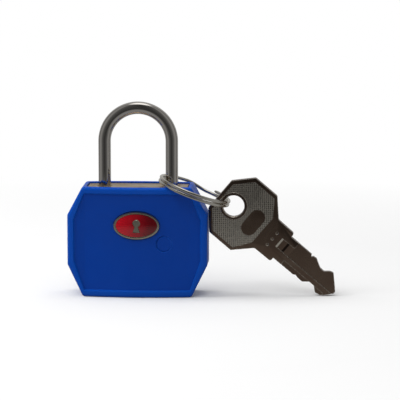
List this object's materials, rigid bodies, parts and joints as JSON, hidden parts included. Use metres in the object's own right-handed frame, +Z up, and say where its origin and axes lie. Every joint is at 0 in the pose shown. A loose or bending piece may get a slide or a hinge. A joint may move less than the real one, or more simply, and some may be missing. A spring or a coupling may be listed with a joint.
{
  "type": "keyed luggage padlock",
  "caption": "Small keyed padlock with a round shackle, a moulded octagonal case round a brass body, and its key on a split ring.",
  "frame": {"origin": "middle of the lock body's flat brass top face, between the shackle's two legs", "axes": "+Z up along the shackle's legs, +X from the toe leg to the heel leg and the key, the badge faces -Y"},
  "size_m": [0.0644, 0.018, 0.0467],
  "materials": {
    "brass": "drawn and milled brass, lightly satin",
    "case_plastic": "moulded blue plastic, semi-gloss",
    "badge_metal": "pale plated stamping",
    "badge_enamel": "two-tone red enamel",
    "shackle_nickel": "polished nickel plating",
    "ring_nickel": "nickel-plated spring wire",
    "key_nickel": "nickel-plated stamped brass",
    "steel": "zinc-plated steel",
    "spring_steel": "drawn spring wire",
    "plug_zinc": "die-cast zinc"
  },
  "bodies": {
    "case": {"lock_body": "brass", "front_cover": "case_plastic", "rear_cover": "case_plastic", "badge_plate": "badge_metal", "badge_enamel": "badge_enamel", "bolt_bore_plug": "brass", "bolt_spring": "spring_steel", "shackle_spring": "spring_steel", "shackle_pin": "steel", "plug_pin": "steel"},
    "shackle": {"shackle": "shackle_nickel"},
    "plug": {"key_plug": "plug_zinc", "plug_cam": "steel", "wafer_1": "brass", "wafer_2": "brass", "wafer_3": "brass", "wafer_4": "brass", "wafer_spring_1": "spring_steel", "wafer_spring_2": "spring_steel", "wafer_spring_3": "spring_steel", "wafer_spring_4": "spring_steel"},
    "bolt": {"locking_bolt": "steel"},
    "ring": {"key_ring": "ring_nickel"},
    "key": {"key": "key_nickel"}
  },
  "joints": [
    {"name": "shackle_lift", "type": "slide", "parent": "case", "child": "shackle", "axis": [0, 0, 1], "range_m": [0, 0.0072], "deforming": ["shackle_spring"]},
    {"name": "plug_turn", "type": "hinge", "parent": "case", "child": "plug", "pos_m": [0, 0, -0.0155], "axis": [0, 0, 1], "range_deg": [0, 90]},
    {"name": "bolt_slide", "type": "slide", "parent": "case", "child": "bolt", "axis": [-1, 0, 0], "range_m": [0, 0.00212]},
    {"name": "ring_tilt", "type": "hinge", "parent": "case", "child": "ring", "pos_m": [0.00545, 0, 0.00189], "axis": [0, -1, 0], "range_deg": [0, 60]},
    {"name": "key_swing", "type": "hinge", "parent": "ring", "child": "key", "pos_m": [0.0217, 0, -0.00402], "axis": [0, -1, 0], "range_deg": [0, 60]}
  ],
  "couplings": [
    {"joint": "bolt_slide", "follows": "plug_turn", "m_per_rad": 0.0013505}
  ]
}
